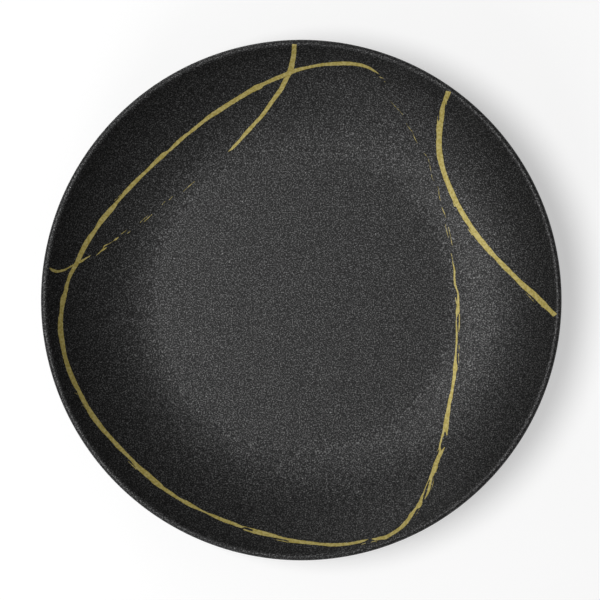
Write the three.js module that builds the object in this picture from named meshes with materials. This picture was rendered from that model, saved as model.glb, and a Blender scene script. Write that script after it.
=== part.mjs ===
// A round coupe plate in black-glazed stoneware, one turned and fired piece.
// Millimetres, +Z up. The origin is on the plate's axis, in the plane that its foot ring stands on.

import * as THREE from "three";

// Driving dimensions of the plate
const plateDiameter = 260;
const plateHeight = 38;
const floorRadius = 73; // the level floor ends here and the wall starts to curve up
const floorThickness = 5.5;
const lipThickness = 3.6; // the lip is a full round of this thickness

// Foot ring, turned on the underside
const footRadius = 66; // outer edge of the face that it stands on
const footWidth = 5.4;
const footHeight = 3;
const footDraft = 0.9; // how far each side of the ring leans out towards the plate
const footRounding = 0.8;

// Facets
const segmentsAround = 96;
const wallSteps = 9;
const lipSteps = 6;
const roundingSteps = 2;

const floorTop = footHeight + floorThickness;
const lipRadius = lipThickness / 2;
const lipCentre = new THREE.Vector2(plateDiameter / 2 - lipRadius, plateHeight - lipRadius);

// Each face of the wall is one arc, which leaves its level face where the floor ends and runs tangent
// into the lip's round. Side is +1 for the outer face and -1 for the inner one.
function wallArc(level, side) {
  const run = lipCentre.x - floorRadius;
  const rise = lipCentre.y - level;
  const radius = (run ** 2 + rise ** 2 - lipRadius ** 2) / (2 * (rise - side * lipRadius));
  const centre = new THREE.Vector2(floorRadius, level + radius);
  return { centre, radius, slope: Math.atan2(run, centre.y - lipCentre.y) };
}

// Points of a round from one angle to another, both ends included
function roundPoints(centre, radius, from, to, steps) {
  return Array.from({ length: steps + 1 }, (_, i) => {
    const angle = THREE.MathUtils.lerp(from, to, i / steps);
    return new THREE.Vector2(
      centre.x + radius * Math.cos(angle),
      centre.y + radius * Math.sin(angle),
    );
  });
}

// The foot ring's section, from its inner side to its outer side, with both lower edges rounded
function footSection() {
  const innerEdge = footRadius - footWidth;
  const lean = Math.atan(footDraft / footHeight);
  const below = -Math.PI / 2;
  const innerRound = new THREE.Vector2(innerEdge + footRounding, footRounding);
  const outerRound = new THREE.Vector2(footRadius - footRounding, footRounding);
  return [
    new THREE.Vector2(innerEdge - footDraft, footHeight),
    ...roundPoints(innerRound, footRounding, 2 * below + lean, below, roundingSteps),
    ...roundPoints(outerRound, footRounding, below, -lean, roundingSteps),
    new THREE.Vector2(footRadius + footDraft, footHeight),
  ];
}

// The whole section, from the axis on the underside, round the lip, and back to the axis on the floor
function plateSection() {
  const below = -Math.PI / 2;
  const outer = wallArc(footHeight, +1);
  const inner = wallArc(floorTop, -1);
  const lipStart = below + outer.slope;
  const lipEnd = below + inner.slope + Math.PI;
  return [
    new THREE.Vector2(0, footHeight),
    ...footSection(),
    ...roundPoints(outer.centre, outer.radius, below, lipStart, wallSteps),
    ...roundPoints(lipCentre, lipRadius, lipStart, lipEnd, lipSteps).slice(1, -1),
    ...roundPoints(inner.centre, inner.radius, below + inner.slope, below, wallSteps),
    new THREE.Vector2(0, floorTop),
  ];
}

// LatheGeometry turns its section about Y, so the body is tipped to stand on its foot along +Z
function plateGeometry() {
  const geometry = new THREE.LatheGeometry(plateSection(), segmentsAround);
  geometry.rotateX(Math.PI / 2);
  return geometry;
}

const blackGlaze = new THREE.MeshStandardMaterial({
  name: "matte black glaze",
  color: 0x2e2e2e,
  roughness: 0.6,
  metalness: 0,
});

const object = new THREE.Group();
object.name = "coupe_plate";

const plate = new THREE.Mesh(plateGeometry(), blackGlaze);
plate.name = "plate";
object.add(plate);

export default object;
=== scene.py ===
import math

import bmesh
import bpy
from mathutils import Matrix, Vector
from mathutils.kdtree import KDTree


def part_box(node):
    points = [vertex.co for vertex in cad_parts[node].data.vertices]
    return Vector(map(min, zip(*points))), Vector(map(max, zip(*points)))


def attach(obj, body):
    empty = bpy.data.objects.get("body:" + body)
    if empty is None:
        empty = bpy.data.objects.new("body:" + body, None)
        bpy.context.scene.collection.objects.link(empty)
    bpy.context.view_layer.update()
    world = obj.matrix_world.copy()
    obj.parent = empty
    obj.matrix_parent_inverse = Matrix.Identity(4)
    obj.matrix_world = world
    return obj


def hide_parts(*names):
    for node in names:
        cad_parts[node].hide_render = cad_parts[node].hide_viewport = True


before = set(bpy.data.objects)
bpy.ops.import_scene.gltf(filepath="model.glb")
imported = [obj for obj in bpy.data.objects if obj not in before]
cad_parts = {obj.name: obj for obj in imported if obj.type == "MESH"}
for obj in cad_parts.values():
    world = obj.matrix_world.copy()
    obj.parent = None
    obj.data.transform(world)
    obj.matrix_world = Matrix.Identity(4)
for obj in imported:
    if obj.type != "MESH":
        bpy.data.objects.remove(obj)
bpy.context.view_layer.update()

# The plate's section in millimetres, as the solid has it. Its radius and height come from the frame.
MM = 0.001  # a millimetre in metres
PLATE_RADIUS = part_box("plate")[1].x / MM
PLATE_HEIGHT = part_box("plate")[1].z / MM
FLOOR_RADIUS = 73.0
FLOOR_THICKNESS = 5.5
LIP_RADIUS = 1.8
FOOT_RADIUS = 66.0
FOOT_WIDTH = 5.4
FOOT_HEIGHT = 3.0
FOOT_DRAFT = 0.9
FOOT_ROUNDING = 0.8
FLOOR_TOP = FOOT_HEIGHT + FLOOR_THICKNESS

LIP_CENTRE = (PLATE_RADIUS - LIP_RADIUS, PLATE_HEIGHT - LIP_RADIUS)

# How finely the plate is turned. The wall is the finest, because it carries the gold.
TURN_STEPS = 720
FLOOR_STEPS = 9
UNDERSIDE_STEPS = 4
FOOT_FACE_STEPS = 3
WALL_STEPS = 60
OUTER_STEPS = 20
LIP_STEPS = 12
FOOT_EDGE_STEPS = 3
SAME_SPOT = 0.001  # vertices nearer than this are one
ON_CIRCLE = 0.05  # a vertex nearer than this to a circle is on it

# The photograph, in its pixels: its side and its middle, and the plate's middle and radius in it
PHOTO_SIDE = 600
PHOTO_MIDDLE = (PHOTO_SIDE - 1) / 2
PHOTO_CENTRE = (300.78, 299.56)
PHOTO_RADIUS = 260.36
MM_PER_PIXEL = PLATE_RADIUS / PHOTO_RADIUS
CAMERA_HEIGHT = 1200.0  # of the camera over the lip's widest circle, in millimetres
SENSOR_WIDTH = 36.0  # of the camera, in millimetres
SIGHT_ROUNDS = 4  # in which the spot that a pixel shows on the curved wall is closed in on


# Shape


def wall_arc(level, side):
    """The arc of one face of the wall: centre height, radius and end slope. Side is 1 outside, -1 inside."""
    run = LIP_CENTRE[0] - FLOOR_RADIUS
    rise = LIP_CENTRE[1] - level
    radius = (run**2 + rise**2 - LIP_RADIUS**2) / (2 * (rise - side * LIP_RADIUS))
    return level + radius, radius, math.atan2(run, level + radius - LIP_CENTRE[1])


def line_to(bm, start, radius, height, steps):
    """Draws the section on from a vertex in a straight line of equal steps, and returns its end."""
    origin = start.co.copy()
    for i in range(1, steps + 1):
        start = bmesh.ops.extrude_vert_indiv(bm, verts=[start])["verts"][0]
        start.co = origin.lerp((radius, 0, height), i / steps)
    return start


def arc_on(bm, start, centre, angle, steps):
    """Draws the section on from a vertex as an arc, anticlockwise from the front, and returns its end."""
    made = bmesh.ops.spin(
        bm, geom=[start], cent=(centre[0], 0, centre[1]), axis=(0, -1, 0),
        angle=angle, steps=steps, use_duplicate=False,
    )
    return made["geom_last"][0]


def plate_mesh():
    """The plate turned from its section: underside, foot ring, outer wall, lip, inner wall, floor."""
    outer_height, _, outer_slope = wall_arc(FOOT_HEIGHT, 1)
    inner_height, _, inner_slope = wall_arc(FLOOR_TOP, -1)
    foot_inside = FOOT_RADIUS - FOOT_WIDTH
    bm = bmesh.new()
    at = bm.verts.new((0, 0, FOOT_HEIGHT))
    at = line_to(bm, at, foot_inside - FOOT_DRAFT, FOOT_HEIGHT, UNDERSIDE_STEPS)
    at = line_to(bm, at, foot_inside, 0, steps=2)
    at = line_to(bm, at, FOOT_RADIUS, 0, FOOT_FACE_STEPS)
    at = line_to(bm, at, FOOT_RADIUS + FOOT_DRAFT, FOOT_HEIGHT, steps=2)
    at = line_to(bm, at, FLOOR_RADIUS, FOOT_HEIGHT, steps=2)
    at = arc_on(bm, at, (FLOOR_RADIUS, outer_height), outer_slope, OUTER_STEPS)
    lip_turn = math.pi + inner_slope - outer_slope
    at = arc_on(bm, at, LIP_CENTRE, lip_turn, LIP_STEPS)
    at = arc_on(bm, at, (FLOOR_RADIUS, inner_height), -inner_slope, WALL_STEPS)
    line_to(bm, at, 0, FLOOR_TOP, FLOOR_STEPS)
    bmesh.ops.spin(
        bm, geom=bm.verts[:] + bm.edges[:], cent=(0, 0, 0), axis=(0, 0, 1),
        angle=2 * math.pi, steps=TURN_STEPS, use_merge=True,
    )
    bmesh.ops.remove_doubles(bm, verts=bm.verts, dist=SAME_SPOT)
    foot_edges = [e for e in bm.edges if all(on_foot_edge(v.co) for v in e.verts)]
    bmesh.ops.bevel(
        bm, geom=foot_edges, offset=FOOT_ROUNDING, offset_type="OFFSET", segments=FOOT_EDGE_STEPS,
        affect="EDGES", profile=0.5, material=-1,
    )
    bmesh.ops.recalc_face_normals(bm, faces=bm.faces)
    for face in bm.faces:
        face.smooth = True
    return bm


def on_foot_edge(point):
    """Whether a point is on one of the two circles that bound the foot ring's standing face."""
    radius = math.hypot(point.x, point.y)
    edges = (FOOT_RADIUS, FOOT_RADIUS - FOOT_WIDTH)
    return abs(point.z) < ON_CIRCLE and any(abs(radius - edge) < ON_CIRCLE for edge in edges)


# Where the two sides of the plate lie on its flat map: the middle of each disc, and its radius
WELL_DISC = (Vector((0.415, 0.415)), 0.41)
UNDERSIDE_DISC = (Vector((0.83, 0.83)), 0.165)
FLAT_MAP = "OFBake"  # the name of the map that the plate is laid out flat on


def unroll(bm):
    """Lays the plate out flat as two discs. The climb of a wall is added to its distance from the axis."""
    flat_map = bm.loops.layers.uv.new(FLAT_MAP)
    for face in bm.faces:
        outwards = face.calc_center_median().xy.normalized()
        on_top = face.normal.z > face.normal.xy.dot(outwards)
        middle, size = WELL_DISC if on_top else UNDERSIDE_DISC
        level = FLOOR_TOP if on_top else FOOT_HEIGHT
        reach = PLATE_RADIUS + PLATE_HEIGHT - level
        for corner in face.loops:
            place = corner.vert.co
            away = place.xy.length + max(place.z - level, 0)
            spot = place.xy.normalized() * away / reach * size if away else Vector((0, 0))
            if not on_top:
                spot.x = -spot.x
            corner[flat_map].uv = middle + spot


def well_height(radius):
    """Height of the well's surface over a radius seen from above."""
    centre_height, arc_radius, _ = wall_arc(FLOOR_TOP, -1)
    out = min(max(radius - FLOOR_RADIUS, 0), LIP_CENTRE[0] - FLOOR_RADIUS)
    return centre_height - math.sqrt(arc_radius**2 - out**2)


# The gold strokes. Each point is where the brush passed in the photograph, in its pixels, and the
# stroke's width there. A width under nothing is the brush lifted off. A stroke that starts or ends
# at full width ends bluntly.

LOOP = [
    (378.7, 73.8, 0), (374.5, 70.8, 1.8), (366, 66.3, 3), (356, 63.8, 3.4), (346, 63, 4),
    (333, 63.3, 3.7), (320, 64.5, 3.2), (307, 67, 3.1), (297, 69.4, 3.9), (288, 72.8, 4.2),
    (278, 77, 4.3), (269, 80.7, 3.9), (262.5, 83.8, 3.8), (259.8, 85.6, 5.4), (256, 87.1, 5.8),
    (251, 89.8, 5.2), (242.5, 95, 4.7), (230, 102.6, 4.7), (217, 111.1, 4.9), (208.5, 116.6, 4.3),
    (200.5, 122.9, 3.7), (193, 129, 3.9), (189, 132.3, 3), (184, 136, 3.6), (177.5, 141.7, 4.1),
    (170.5, 148.5, 3.2), (167, 151.5, 2.7), (163.5, 154, 4.8), (155, 161.7, 4.3), (148, 168.7, 3.6),
    (141, 175.3, 3.7), (133.5, 182.7, 4.5), (125.5, 191.2, 4.4), (122.5, 194.6, 3.8),
    (119.1, 198.9, 3.3), (115.7, 202.7, 3.6), (113, 206.4, 4.8), (108.4, 211.5, 5.4),
    (101, 220.2, 5.4), (95.4, 228.8, 3.9), (89.5, 237, 5.2), (84.3, 245.5, 5.3),
    (79.3, 256, 4.8), (75, 265, 4.3), (70.5, 273, 3.8), (67.4, 281, 3.3), (66, 286.5, 4.2),
    (65.2, 291, 3.8), (62.6, 299.5, 5.4), (61.3, 309, 3.9), (60, 320.5, 4.8), (60.2, 331, 5.5),
    (61.7, 341, 4.8), (64.3, 355.5, 4.2), (68.8, 370, 4.7), (74.4, 383, 4.9), (78, 389.5, 4.1),
    (81.5, 397, 4.7), (86.5, 406, 4.3), (91.7, 414.7, 5.3), (97.6, 422.5, 5), (103.7, 430.4, 4.5),
    (110.5, 437.7, 4.1), (118.4, 446.5, 4.5), (125.6, 453.7, 3.6), (132, 460, 3.6), (138.3, 467, 4.8),
    (146, 473.4, 5.5), (150.5, 477.5, 5.2), (154.6, 481.1, 5.7), (159.6, 485.2, 4.8), (163.5, 488.3, 3.6),
    (170, 492.6, 4), (177, 497.3, 3), (181, 499.7, 3), (186, 502.3, 4.3), (195, 507.1, 3.3),
    (203, 511, 1.6), (213, 515.4, 3), (222, 519.3, 3.6), (232, 522.8, 3.5), (240, 525.9, 2.9),
    (242, 526.6, 2.3), (243.6, 527.6, 4), (247.7, 528.9, 4.3), (254.5, 530.8, 4.8),
    (262, 532.7, 4.6), (269, 534.3, 4.1), (279, 536.8, 2.9),
    (285, 538.4, 2.7), (289.5, 540, 4.2), (298, 541.1, 3.6), (309, 542.4, 3.4), (320, 543.5, 2.8),
    (330, 544.3, 3.4), (338, 544.2, 3.3), (350, 543.1, 2.7), (361, 540.8, 2.7), (368, 538.7, 0),
]
LOOP_REST = [
    (371.3, 538.4, 0.8), (375.5, 538.6, 2.8), (379.5, 537.6, 3.3), (384.7, 537, 3.7), (388.6, 535, 3.4),
    (392.4, 532.7, 3.5), (397, 529.7, 3.3), (401.6, 526, 3.6), (405.4, 522, 4.1), (408.5, 518.2, 3.6),
    (410.4, 514.8, 4.3), (413.1, 511.4, 3.1), (415.4, 507.8, 2.3), (418.2, 505.2, 4.7), (420, 502, 4.2),
    (420.9, 497.7, 3), (422.4, 494, 1.8), (423.8, 490.8, 1.3), (426, 485.4, 1.6), (428.6, 480, 2.2),
    (431, 475.5, 3.7), (432.7, 471.4, 4.3), (434.2, 467, 4.7), (435.7, 462.5, 4.8), (438.2, 456.5, 4.1),
    (439.9, 451.5, 3.6), (439.2, 446.5, 2.2), (440.6, 440, 1.9), (442.3, 434, 3), (444.5, 431, 5.4),
    (445.2, 427.6, 6), (446, 421.4, 5.5), (446.7, 416, 5), (447.7, 410.5, 4.4), (448.8, 403.3, 3.8),
    (450.4, 396.2, 4), (451.7, 389.3, 2.9), (452.5, 383.9, 3), (453.6, 377.8, 3.8), (454, 372.5, 3.5),
    (454.8, 367.4, 5.2), (454.8, 361, 3), (455.2, 354.8, 2.1), (455.5, 349.5, 1.5), (456.1, 341, 2.1),
    (456.2, 330.7, 2), (455.8, 323.7, 1.1), (456, 317, 0.8), (457.1, 312, 4.2), (457.4, 308, 3.8),
    (457.7, 303, 3), (457.8, 296, 2.2), (457.1, 291.2, 1.9), (455.3, 286.3, 2.1), (454.2, 281.5, 2.4),
    (453.9, 276, 1.9), (454, 271, 2), (453.4, 266.5, 1.7), (452.5, 262.5, 0.8), (451.6, 257, 0.5),
    (450.6, 252.8, 0.5),
]
LEFT_HOOK = [
    (49, 267.6, 1.5), (52.6, 269.8, 3.5), (57, 270.9, 3.2), (61.9, 270, 2.6), (65.3, 268.9, 2.1),
    (68.6, 266.8, 1.5), (72.5, 264.9, 2.2), (78.5, 262.1, 2), (81.8, 260.2, 2.8), (84.5, 258.3, 1.7),
    (88.5, 256, 1.3), (90.5, 254.7, 0),
]
TOP_STROKE = [
    (293.8, 43.6, 5.1), (293.5, 52, 5), (292.2, 60, 5.5), (290.2, 69, 5.9), (287, 76, 5.2),
    (283.8, 82.5, 5.1), (280, 89.5, 4.8), (275, 96.3, 4.7), (270.2, 103, 4.4), (265.8, 109.5, 4.3),
    (260.8, 116, 4), (255.2, 122, 3.8), (249.8, 128, 4.2), (244.5, 133.7, 4.2), (239.4, 139.8, 3.1),
    (234.2, 145.3, 3.4), (231, 148.5, 2.4), (227.6, 151.2, 0),
]
RIGHT_STROKE = [
    (448, 90.7, 5.5), (446.7, 94.8, 5.4), (444.9, 99.2, 4.8), (442.7, 104.5, 4), (441.7, 110, 5.2),
    (441.4, 115.5, 5.1), (440.8, 120, 4.7), (439.4, 124, 6.6), (439, 129.5, 6.5), (438.8, 136, 5.7),
    (438.4, 142, 6), (438.7, 148.5, 5.9), (439.3, 154.5, 6.4), (440.4, 160.7, 5.9), (442, 167, 5.3),
    (443.8, 173, 5.2), (446, 179, 5.4), (448.4, 185, 5.4), (450.9, 191.3, 5.9), (453.8, 197.5, 5.6),
    (457.3, 204.5, 5.2), (461, 211, 5.3), (465, 217.8, 5.5), (469.5, 224.5, 4.8), (473.2, 230.5, 5.8),
    (478.5, 237.9, 5.9), (483.8, 244.2, 5.8), (489.2, 250.6, 5.5), (494.8, 256.6, 4.3), (500.5, 262.6, 5.1),
    (506, 268.2, 5.3), (512, 274.1, 4.8), (517.5, 279.6, 5), (522.5, 284.6, 5.6), (528, 289.3, 5.9),
    (534, 294.4, 5.9), (538.5, 299, 5.6), (542.7, 303, 6), (546.3, 306.8, 5), (550, 310.3, 4.5),
    (554.7, 315, 4.8),
]
# Where a nearly dry brush only touched the glaze now and then
INNER_TRAIL = [
    (452.4, 247.3, 0.1), (451, 241, 0.4), (449.7, 234.5, 0.3), (448.4, 228.6, 0.4), (447, 223.5, -1),
    (445.2, 216.5, 0.1), (443.6, 211.9, 0.9), (441.8, 208.2, 0.3), (441, 204, -1), (440.1, 200.5, 0.1),
    (438.6, 194.5, 0.3), (438, 188, 0.2), (435.5, 183, -1), (432.1, 178.2, 0.1), (431, 174, 0.2),
    (430.6, 171.5, -0.2), (430.2, 169.3, 0.2), (429.2, 164, 0.4), (428, 159.3, 0.3), (427, 157, -0.2),
    (425.4, 154.8, 0.2), (420, 148, -1), (416, 141, 0.2), (413.3, 135.5, 0.3), (412.6, 133.4, -0.2),
    (412, 131.5, 0.3), (407, 125, 0.2), (404, 118, -1), (401.5, 113.2, 0.2), (395, 106.2, 0.3),
    (388.8, 99.5, 0.1),
]
# Stray hairs of the brush, beside the strokes and across the well
HAIRS = [
    [(444.7, 223.6, 0.1), (446.2, 230.5, 0.3), (447.8, 236.9, 0.3)],
    [(95.5, 255.2, 0.4), (99.2, 252, 1), (101, 250.2, 1.7), (103.6, 248.5, 2.2), (106.5, 246.9, 0.4)],
    [(383.2, 78, 0.3), (381, 77.2, 0.8), (378.9, 76.2, 0.3)],
    [(384.6, 81.6, 0.3), (383.8, 80.6, 0.3)],
    [(102.6, 247.2, 0.7), (104.8, 244.9, 1.1), (108.6, 243.2, 0.6), (111.4, 241.4, 0.2),
     (113.6, 240, 0.8), (115.8, 238.4, 1.9), (118.3, 236.6, 0.6)],
    [(120.5, 233.7, 0.2), (123.6, 231.5, 0.6), (126.6, 229, 0.3)],
    [(127, 233.1, 0.3), (130.3, 230.4, 0.4)],
    [(139.8, 221.9, 0.2), (144, 218, 0.5), (147.8, 214.5, 0.3)],
    [(143.2, 221.6, 0.2), (147.2, 217.9, 0.5), (151.3, 214.1, 0.3)],
    [(161.7, 204, 0.2), (164.8, 200.6, 0.4)],
    [(168.9, 199.3, 0.3), (172.5, 195.5, 0.4)],
    [(182.6, 191, 0.2), (188.5, 185.8, 0.4), (194.1, 180.9, 0.2)],
    [(113.5, 200.6, 0.2), (117, 197.3, 0.5), (120.3, 194, 0.4)],
    [(74.3, 392.2, 0.2), (77.2, 394, 0.5)],
    [(81.6, 404.2, 0.2), (84.8, 407, 0.5)],
    [(127.9, 461, 0.3), (131.5, 464.5, 0.8), (136, 468.6, 1.3)],
    [(273.5, 538.9, 0.2), (280, 540.1, 0.7), (287.8, 541.5, 1.1)],
    [(360.8, 543.9, 0.3), (365, 542.8, 0.4)],
    [(370.2, 542.2, 0.3), (373.2, 540.6, 0.8), (376.2, 541.4, 0.5)],
    [(418.8, 508.8, 0.2), (417, 511.8, 0.4), (415, 515.2, 0.2)],
    [(431.4, 476, 2), (430, 481, 2.7), (428.8, 487, 3), (427.2, 492.3, 2.3), (424.2, 498.4, 0.4)],
    [(433.3, 477.8, 0.2), (432.3, 483.9, 0.5), (430.6, 489.2, 0.5)],
    [(437.4, 464, 0.5), (436.5, 467, 1.2), (435, 471.8, 1.3)],
    [(444.2, 446.9, 0.4), (442.8, 448.8, 1.6), (441, 452.5, 2.6), (439.8, 455.5, 2)],
    [(438.9, 447, 1.3), (436.8, 450.8, 0.3)],
    [(446.6, 430, 2), (446.3, 434.8, 0.7)],
    [(458.5, 344.5, 0.3), (459, 350.5, 0.4)],
    [(458.1, 353, 0.3), (458.3, 358, 0.6), (458.1, 363.4, 0.3)],
    [(458.9, 313.5, 1.2), (458.9, 322.3, 1.2), (458.6, 327.2, 1.2), (458.3, 331.6, 0.3)],
    [(455, 297, 0.4), (455.6, 300, 1.3), (456.2, 303.5, 0.8)],
    [(445.2, 100, 2.4), (446, 104.3, 0.3)],
    [(437.1, 116, 0.3), (436.9, 120.5, 0.8), (437.4, 124, 1.3)],
    [(452.5, 201.5, 0.3), (454.2, 206, 1.3)],
    [(467.2, 228, 0.3), (469, 230.3, 1), (472, 234.4, 1.5)],
    [(525.2, 292.4, 0.2), (529.8, 297.2, 0.6), (534.6, 302.2, 0.3)],
    [(540.6, 305.6, 0.8), (542.6, 307, 0.8)],
]
# Where the glaze shows through a stroke or notches its end
DRY_SPOTS = [
    [(241.8, 528.5, 1.4), (243.6, 527.4, 1.9), (247.7, 528.5, 2.5), (252.2, 529.9, 1.8)],
    [(279.5, 538.9, 1), (284, 539.8, 1.8), (288.2, 541, 1.4)],
    [(429.2, 479, 0.8), (426.9, 485.5, 1.8), (424.8, 492, 2.2), (423.2, 498.5, 1.7)],
    [(447.2, 89.6, 1.8), (447.4, 91.2, 0.4)],
    [(450.5, 90.2, 1.5), (449, 90.8, 0.3)],
    [(553.8, 317.6, 1.3), (553.4, 315.8, 0.3)],
    [(444.7, 434.9, 3), (444.6, 431.3, 1.5)],
    [(457.6, 316, 1.2), (457.5, 313, 0.5)],
]

BRUSH_REACH = 4.5  # millimetres from a stroke's middle within which the surface knows of it
STROKE_SPACING = 0.6  # millimetres between the points that a stroke is followed by
EDGE_GLOW = 0.5  # pixels by which a bright stroke on dark glaze looks wider in a picture than it is
FULL_GLOW_WIDTH = 3.0  # the width from which that holds; a thinner stroke looks wider in proportion
NO_GOLD = (-1.0, 0.0, -1.0)  # what the surface knows where no stroke is near


def well_point(pixel_x, pixel_y):
    """Where a pixel of the photograph falls on the well, in millimetres seen from above.

    The well lies below the circle by which the picture is measured, so a spot in it is a little
    farther out than it looks. How much depends on its height, which each round knows better.
    """
    across = (pixel_x - PHOTO_CENTRE[0]) * MM_PER_PIXEL
    along = (PHOTO_CENTRE[1] - pixel_y) * MM_PER_PIXEL
    seen = math.hypot(across, along)
    camera = CAMERA_HEIGHT + LIP_CENTRE[1]
    spread = 1.0
    for _ in range(SIGHT_ROUNDS):
        spread = (camera - well_height(seen * spread)) / CAMERA_HEIGHT
    return across * spread, along * spread


def brush_path(stroke):
    """The stroke as close points of a smooth line: x, y and half width in millimetres."""
    knots = []
    for x, y, width in stroke:
        width -= EDGE_GLOW * min(width / FULL_GLOW_WIDTH, 1)
        knots.append(Vector((*well_point(x, y), width * MM_PER_PIXEL / 2)))
    knots = [2 * knots[0] - knots[1], *knots, 2 * knots[-1] - knots[-2]]
    path = []
    for before, start, end, after in zip(knots, knots[1:], knots[2:], knots[3:]):
        steps = max(2, round((end - start).length / STROKE_SPACING))
        for i in range(steps):
            t = i / steps
            path.append(
                0.5 * (
                    2 * start + t * (end - before)
                    + t**2 * (2 * before - 5 * start + 4 * end - after)
                    + t**3 * (3 * start - before - 3 * end + after)
                )
            )
    return path + [knots[-2]]


def tree_of(points):
    """A search tree of points, by where they lie seen from above."""
    tree = KDTree(len(points))
    for i, point in enumerate(points):
        tree.insert((point.x, point.y, 0), i)
    tree.balance()
    return tree


def layered(name, strokes):
    """Shares strokes out over named layers, so that within one no two are near each other."""
    layers = {}
    for path in map(brush_path, strokes):
        tree = tree_of(path)
        for layer in layers.values():
            points = [point for other in layer for point in other]
            if all(tree.find((p.x, p.y, 0))[2] > 2 * BRUSH_REACH for p in points):
                layer.append(path)
                break
        else:
            layers[f"{name}_{len(layers) + 1}"] = [path]
    return layers


def paint(piece, name, paths):
    """Stores on the well's vertices where each lies by the nearest stroke of a layer, in millimetres.

    That is how far it is from the stroke's nearer end, how far to the side of its middle, and half
    the stroke's width there.
    """
    samples = [(path, i) for path in paths for i in range(len(path))]
    tree = tree_of([path[i] for path, i in samples])
    lengths = {}
    for path in paths:
        total = [0.0]
        for a, b in zip(path, path[1:]):
            total.append(total[-1] + (b.xy - a.xy).length)
        lengths[id(path)] = total
    values = piece.data.attributes.new(name, "FLOAT_VECTOR", "POINT").data
    for vertex in piece.data.vertices:
        point = vertex.co.xy / MM
        values[vertex.index].vector = NO_GOLD
        if vertex.normal.z < 0 or point.length < FLOOR_RADIUS:
            continue
        _, index, distance = tree.find((point.x, point.y, 0))
        if distance > BRUSH_REACH:
            continue
        path, i = samples[index]
        a, b = path[max(i - 1, 0)], path[min(i + 1, len(path) - 1)]
        forward = (b.xy - a.xy).normalized()
        offset = point - path[i].xy
        along = lengths[id(path)][i] + offset.dot(forward)
        from_end = min(along, lengths[id(path)][-1] - along)
        values[vertex.index].vector = (from_end, forward.cross(offset), path[i].z)


GOLD = layered("gold", [LOOP, LOOP_REST, LEFT_HOOK, TOP_STROKE, RIGHT_STROKE, INNER_TRAIL, *HAIRS])
DRY = layered("dry", DRY_SPOTS)


# Materials


def linear(hex_colour):
    """An sRGB hex colour as a linear RGBA colour."""
    channels = [int(hex_colour[i : i + 2], 16) / 255 for i in (1, 3, 5)]
    return (*[c / 12.92 if c <= 0.04045 else ((c + 0.055) / 1.055) ** 2.4 for c in channels], 1.0)


def node(tree, kind, inputs=None, **settings):
    """Adds a node with its settings. Each input is a value, or another node or one of its outputs to link.

    Of a node that is given as it is, the first output in use is linked.
    """
    made = tree.nodes.new(kind)
    for name, value in settings.items():
        setattr(made, name, value)
    for socket, value in (inputs or {}).items():
        if isinstance(value, bpy.types.Node):
            value = next(output for output in value.outputs if output.enabled)
        if isinstance(value, bpy.types.NodeSocket):
            tree.links.new(value, made.inputs[socket])
        else:
            made.inputs[socket].default_value = value
    return made


def new_material(name):
    material = bpy.data.materials.new(name)
    material.use_nodes = True
    material.node_tree.nodes.clear()
    return material


# Sizes in the finish, in millimetres. The real crystals are about 0.1 mm across, too fine to show, so
# they are drawn as coarse as a pixel of the photograph.
CRYSTAL_SIZE = 0.6
CRYSTAL_RELIEF = 0.05
GLINT_SPACING = 7.0
LACQUER_CLOUD = 1.2  # across a patch where the gold powder lies thicker
EDGE_RIPPLE = 1.4  # from one bulge of a stroke's edge to the next
EDGE_DEPTH = 0.2  # how far the edge goes in or out at the most
EDGE_FADE = 0.1  # within this of the edge, the gold thins out
CLAY_GRAIN = 0.8
GLAZE_EDGE_WAVE = 3.0  # from one dip of the glaze's lower edge on the foot ring to the next
GLAZE_EDGE_DEPTH = 0.6  # how far the dips go down
GLAZE_FROM, BARE_BELOW = 1.0, 0.8  # heights over the table, where the glaze has no dip

# How the patterns are drawn from a noise that runs from 0 to 1
DARK_BELOW = 0.3  # a crystal shows only where the noise is over this
CRYSTAL_CONTRAST = 2.0
CRYSTAL_SHARPNESS = 2.4  # the power that leaves few bright crystals among many dark ones
GLINT_EDGE, GLINT_CORE = 0.05, 0.03  # radii of a glint, in parts of the spacing
CLOUD_THIN, CLOUD_THICK = 0.35, 0.65  # where the gold is darkest, and palest

# How the finishes take the light. The crystals shine like metal, and the lacquered gold much less.
GLAZE_METALLIC, GOLD_METALLIC = 0.75, 0.2
GLAZE_ROUGHNESS, CLAY_ROUGHNESS = 0.55, 0.85

# The inputs of a Mix node that is set to colours
FACTOR, COLOUR_A, COLOUR_B = 0, 6, 7


def inside_strokes(tree, layers):
    """How far inside the edge of a stroke a point is, in millimetres, or less than nothing outside."""
    deepest = None
    for layer in layers:
        known = node(tree, "ShaderNodeAttribute", attribute_name=layer).outputs["Vector"]
        from_end, across, half_width = node(tree, "ShaderNodeSeparateXYZ", {0: known}).outputs
        across = node(tree, "ShaderNodeMath", {0: across}, operation="ABSOLUTE")
        from_side = node(tree, "ShaderNodeMath", {0: half_width, 1: across}, operation="SUBTRACT")
        depth = node(tree, "ShaderNodeMath", {0: from_side, 1: from_end}, operation="MINIMUM")
        if deepest is not None:
            depth = node(tree, "ShaderNodeMath", {0: deepest, 1: depth}, operation="MAXIMUM")
        deepest = depth
    return deepest


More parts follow.
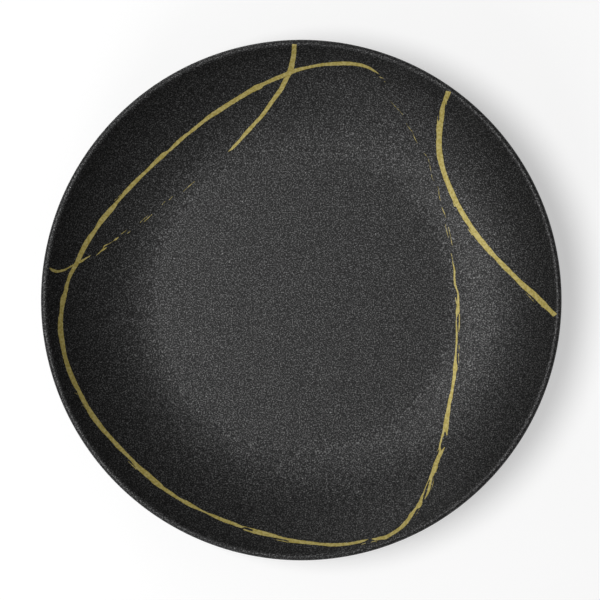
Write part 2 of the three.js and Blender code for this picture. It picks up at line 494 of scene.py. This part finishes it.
def brushed_gold(tree, place):
    """1 where there is gold and 0 where there is none, with a crisp edge that is slightly uneven."""
    dry = node(
        tree, "ShaderNodeMath", {0: inside_strokes(tree, DRY), 1: -1.0}, operation="MULTIPLY",
    )
    depth = node(
        tree, "ShaderNodeMath", {0: inside_strokes(tree, GOLD), 1: dry}, operation="MINIMUM",
    )
    ripple = node(tree, "ShaderNodeTexNoise", {
        "Vector": place, "Scale": 1 / (EDGE_RIPPLE * MM), "Detail": 1.0,
    })
    ripple = node(
        tree, "ShaderNodeMath", {0: ripple, 1: 2 * EDGE_DEPTH, 2: -EDGE_DEPTH}, operation="MULTIPLY_ADD",
    )
    depth = node(tree, "ShaderNodeMath", {0: depth, 1: ripple}, operation="ADD")
    return node(
        tree, "ShaderNodeMapRange", {"Value": depth, "From Min": -EDGE_FADE, "From Max": EDGE_FADE},
        interpolation_type="SMOOTHSTEP",
    )


def iron_crystals(tree, place):
    """How much of the light a spot of the glaze catches: a dense grain, dark more often than bright."""
    grain = node(tree, "ShaderNodeTexNoise", {
        "Vector": place, "Scale": 1 / (CRYSTAL_SIZE * MM), "Detail": 0.0,
    })
    grain = node(tree, "ShaderNodeMath", {
        0: grain, 1: CRYSTAL_CONTRAST, 2: -CRYSTAL_CONTRAST * DARK_BELOW,
    }, operation="MULTIPLY_ADD")
    grain = node(tree, "ShaderNodeMath", {0: grain, 1: 0.0}, operation="MAXIMUM")
    return node(tree, "ShaderNodeMath", {0: grain, 1: CRYSTAL_SHARPNESS}, operation="POWER")


def glaze_colour(tree, place, grain):
    """Black, lighter in the grain, with a few crystals that glint."""
    glint = node(tree, "ShaderNodeTexVoronoi", {"Vector": place, "Scale": 1 / (GLINT_SPACING * MM)})
    glint = node(
        tree, "ShaderNodeMapRange", {"Value": glint, "From Min": GLINT_EDGE, "From Max": GLINT_CORE},
        interpolation_type="SMOOTHSTEP",
    )
    colour = node(tree, "ShaderNodeMix", {
        FACTOR: grain, COLOUR_A: linear("#242424"), COLOUR_B: linear("#707070"),
    }, data_type="RGBA")
    return node(tree, "ShaderNodeMix", {
        FACTOR: glint, COLOUR_A: colour, COLOUR_B: linear("#8c8c8c"),
    }, data_type="RGBA")


def gold_colour(tree, place):
    """Gold powder in lacquer, a little paler in clouds where the powder lies thicker."""
    cloud = node(tree, "ShaderNodeTexNoise", {
        "Vector": place, "Scale": 1 / (LACQUER_CLOUD * MM), "Detail": 2.0,
    })
    cloud = node(
        tree, "ShaderNodeMapRange", {"Value": cloud, "From Min": CLOUD_THIN, "From Max": CLOUD_THICK},
        interpolation_type="SMOOTHSTEP",
    )
    return node(tree, "ShaderNodeMix", {
        FACTOR: cloud, COLOUR_A: linear("#a4944c"), COLOUR_B: linear("#beb06f"),
    }, data_type="RGBA")


def bare_clay(tree, place):
    """1 low on the foot ring, where there is no glaze, and 0 above its slightly wavy lower edge."""
    wave = node(tree, "ShaderNodeTexNoise", {
        "Vector": place, "Scale": 1 / (GLAZE_EDGE_WAVE * MM), "Detail": 1.0,
    })
    height = node(tree, "ShaderNodeSeparateXYZ", {0: place}).outputs["Z"]
    height = node(
        tree, "ShaderNodeMath", {0: wave, 1: GLAZE_EDGE_DEPTH * MM, 2: height},
        operation="MULTIPLY_ADD",
    )
    return node(
        tree, "ShaderNodeMapRange",
        {"Value": height, "From Min": GLAZE_FROM * MM, "From Max": BARE_BELOW * MM},
        interpolation_type="SMOOTHSTEP",
    )


def glazed_stoneware():
    """Matte black iron glaze, with gold brushed on flat and a bare stoneware foot to stand on.

    The glaze is full of fine iron crystals, which catch the light or don't: that gives the eye a dense
    grain of lighter and darker specks in a soft satin sheen, with a few crystals that glint. The gold
    is powder in lacquer: opaque, even and nearly matte. The foot is unglazed clay, dull and brownish.
    """
    material = new_material("matte_black_glaze_with_gold")
    tree = material.node_tree
    place = node(tree, "ShaderNodeTexCoord").outputs["Object"]
    gold = brushed_gold(tree, place)
    bare = bare_clay(tree, place)
    grain = iron_crystals(tree, place)
    colour = node(tree, "ShaderNodeMix", {
        FACTOR: gold, COLOUR_A: glaze_colour(tree, place, grain), COLOUR_B: gold_colour(tree, place),
    }, data_type="RGBA")
    clay = node(tree, "ShaderNodeTexNoise", {
        "Vector": place, "Scale": 1 / (CLAY_GRAIN * MM), "Detail": 1.0,
    })
    clay = node(tree, "ShaderNodeMix", {
        FACTOR: clay, COLOUR_A: linear("#4a3c32"), COLOUR_B: linear("#64544a"),
    }, data_type="RGBA")
    colour = node(tree, "ShaderNodeMix", {
        FACTOR: bare, COLOUR_A: colour, COLOUR_B: clay,
    }, data_type="RGBA")

    covered = node(tree, "ShaderNodeMath", {0: 1.0, 1: bare}, operation="SUBTRACT")
    metallic = node(tree, "ShaderNodeMath", {
        0: gold, 1: GOLD_METALLIC - GLAZE_METALLIC, 2: GLAZE_METALLIC,
    }, operation="MULTIPLY_ADD")
    metallic = node(tree, "ShaderNodeMath", {0: metallic, 1: covered}, operation="MULTIPLY")
    roughness = node(tree, "ShaderNodeMath", {
        0: bare, 1: CLAY_ROUGHNESS - GLAZE_ROUGHNESS, 2: GLAZE_ROUGHNESS,
    }, operation="MULTIPLY_ADD")
    bump = node(tree, "ShaderNodeBump", {
        "Height": grain, "Strength": 0.5, "Distance": CRYSTAL_RELIEF * MM,
    })
    shader = node(tree, "ShaderNodeBsdfPrincipled", {
        "Base Color": colour, "Roughness": roughness, "Metallic": metallic,
        "Normal": bump, "IOR": 1.5, "Specular IOR Level": 0.25,
    })
    node(tree, "ShaderNodeOutputMaterial", {"Surface": shader})
    return material


def lit_acrylic():
    """A light table's white acrylic sheet, matte, lit from within so that shadows on it stay pale."""
    material = new_material("white_acrylic")
    tree = material.node_tree
    shader = node(tree, "ShaderNodeBsdfPrincipled", {
        "Base Color": linear("#cdcdcd"), "Roughness": 0.9,
        "Emission Color": linear("#ffffff"), "Emission Strength": 0.45,
    })
    node(tree, "ShaderNodeOutputMaterial", {"Surface": shader})
    return material


# Pieces


def new_object(name, bm):
    """Makes an object of a finished bmesh, and puts it in the scene."""
    mesh = bpy.data.meshes.new(name)
    bm.to_mesh(mesh)
    bm.free()
    made = bpy.data.objects.new(name, mesh)
    bpy.context.scene.collection.objects.link(made)
    return made


def make_plate():
    bm = plate_mesh()
    unroll(bm)
    bmesh.ops.scale(bm, vec=(MM, MM, MM), verts=bm.verts)
    plate = new_object("glazed_plate", bm)
    for name, paths in (GOLD | DRY).items():
        paint(plate, name, paths)
    plate.data.materials.append(glazed_stoneware())
    return plate


TABLE_REACH = 8.0  # metres from the light table's middle to its sides


def make_floor():
    bm = bmesh.new()
    bmesh.ops.create_grid(bm, x_segments=1, y_segments=1, size=TABLE_REACH)
    floor = new_object("light_table", bm)
    floor.data.materials.append(lit_acrylic())
    return floor


# Studio


def soft_light(name, lean, towards, distance, size, power):
    """A round softbox that faces the plate, in degrees, metres and watts.

    It leans off the vertical towards an angle seen from above, counted from the right. It stays out
    of the picture itself, from wherever the plate is looked at.
    """
    data = bpy.data.lights.new(name, "AREA")
    data.shape = "DISK"
    data.size = size
    data.energy = power
    light = bpy.data.objects.new(name, data)
    lean, towards = math.radians(lean), math.radians(towards)
    back = Vector((
        math.sin(lean) * math.cos(towards), math.sin(lean) * math.sin(towards), math.cos(lean),
    ))
    light.location = back * distance
    light.visible_camera = False
    light.rotation_mode = "QUATERNION"
    light.rotation_quaternion = back.to_track_quat("Z", "Y")
    bpy.context.scene.collection.objects.link(light)


def light_studio():
    """A softbox over the plate to the left, two weak low ones to lift its wall, and a dim white room."""
    soft_light("softbox_left", lean=22.5, towards=180, distance=2, size=1, power=28.5)
    soft_light("fill_front", lean=62, towards=247, distance=2.4, size=1, power=9.2)
    soft_light("fill_back", lean=80, towards=112, distance=2.4, size=0.6, power=10.4)
    world = bpy.data.worlds.new("studio_room")
    world.use_nodes = True
    room = world.node_tree.nodes["Background"]
    room.inputs["Color"].default_value = linear("#ffffff")
    room.inputs["Strength"].default_value = 0.15
    bpy.context.scene.world = world


def place_camera():
    """Straight above the plate, which fills the picture as it does in the photograph."""
    data = bpy.data.cameras.new("camera")
    data.sensor_width = SENSOR_WIDTH
    data.lens = SENSOR_WIDTH * CAMERA_HEIGHT / (PHOTO_SIDE * MM_PER_PIXEL)
    camera = bpy.data.objects.new("camera", data)
    camera.location = (
        (PHOTO_MIDDLE - PHOTO_CENTRE[0]) * MM_PER_PIXEL * MM,
        (PHOTO_CENTRE[1] - PHOTO_MIDDLE) * MM_PER_PIXEL * MM,
        (CAMERA_HEIGHT + LIP_CENTRE[1]) * MM,
    )
    bpy.context.scene.collection.objects.link(camera)
    bpy.context.scene.camera = camera


plate = make_plate()
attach(plate, "root")
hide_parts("plate")
make_floor()
light_studio()
place_camera()
bpy.context.scene.view_settings.view_transform = "Standard"
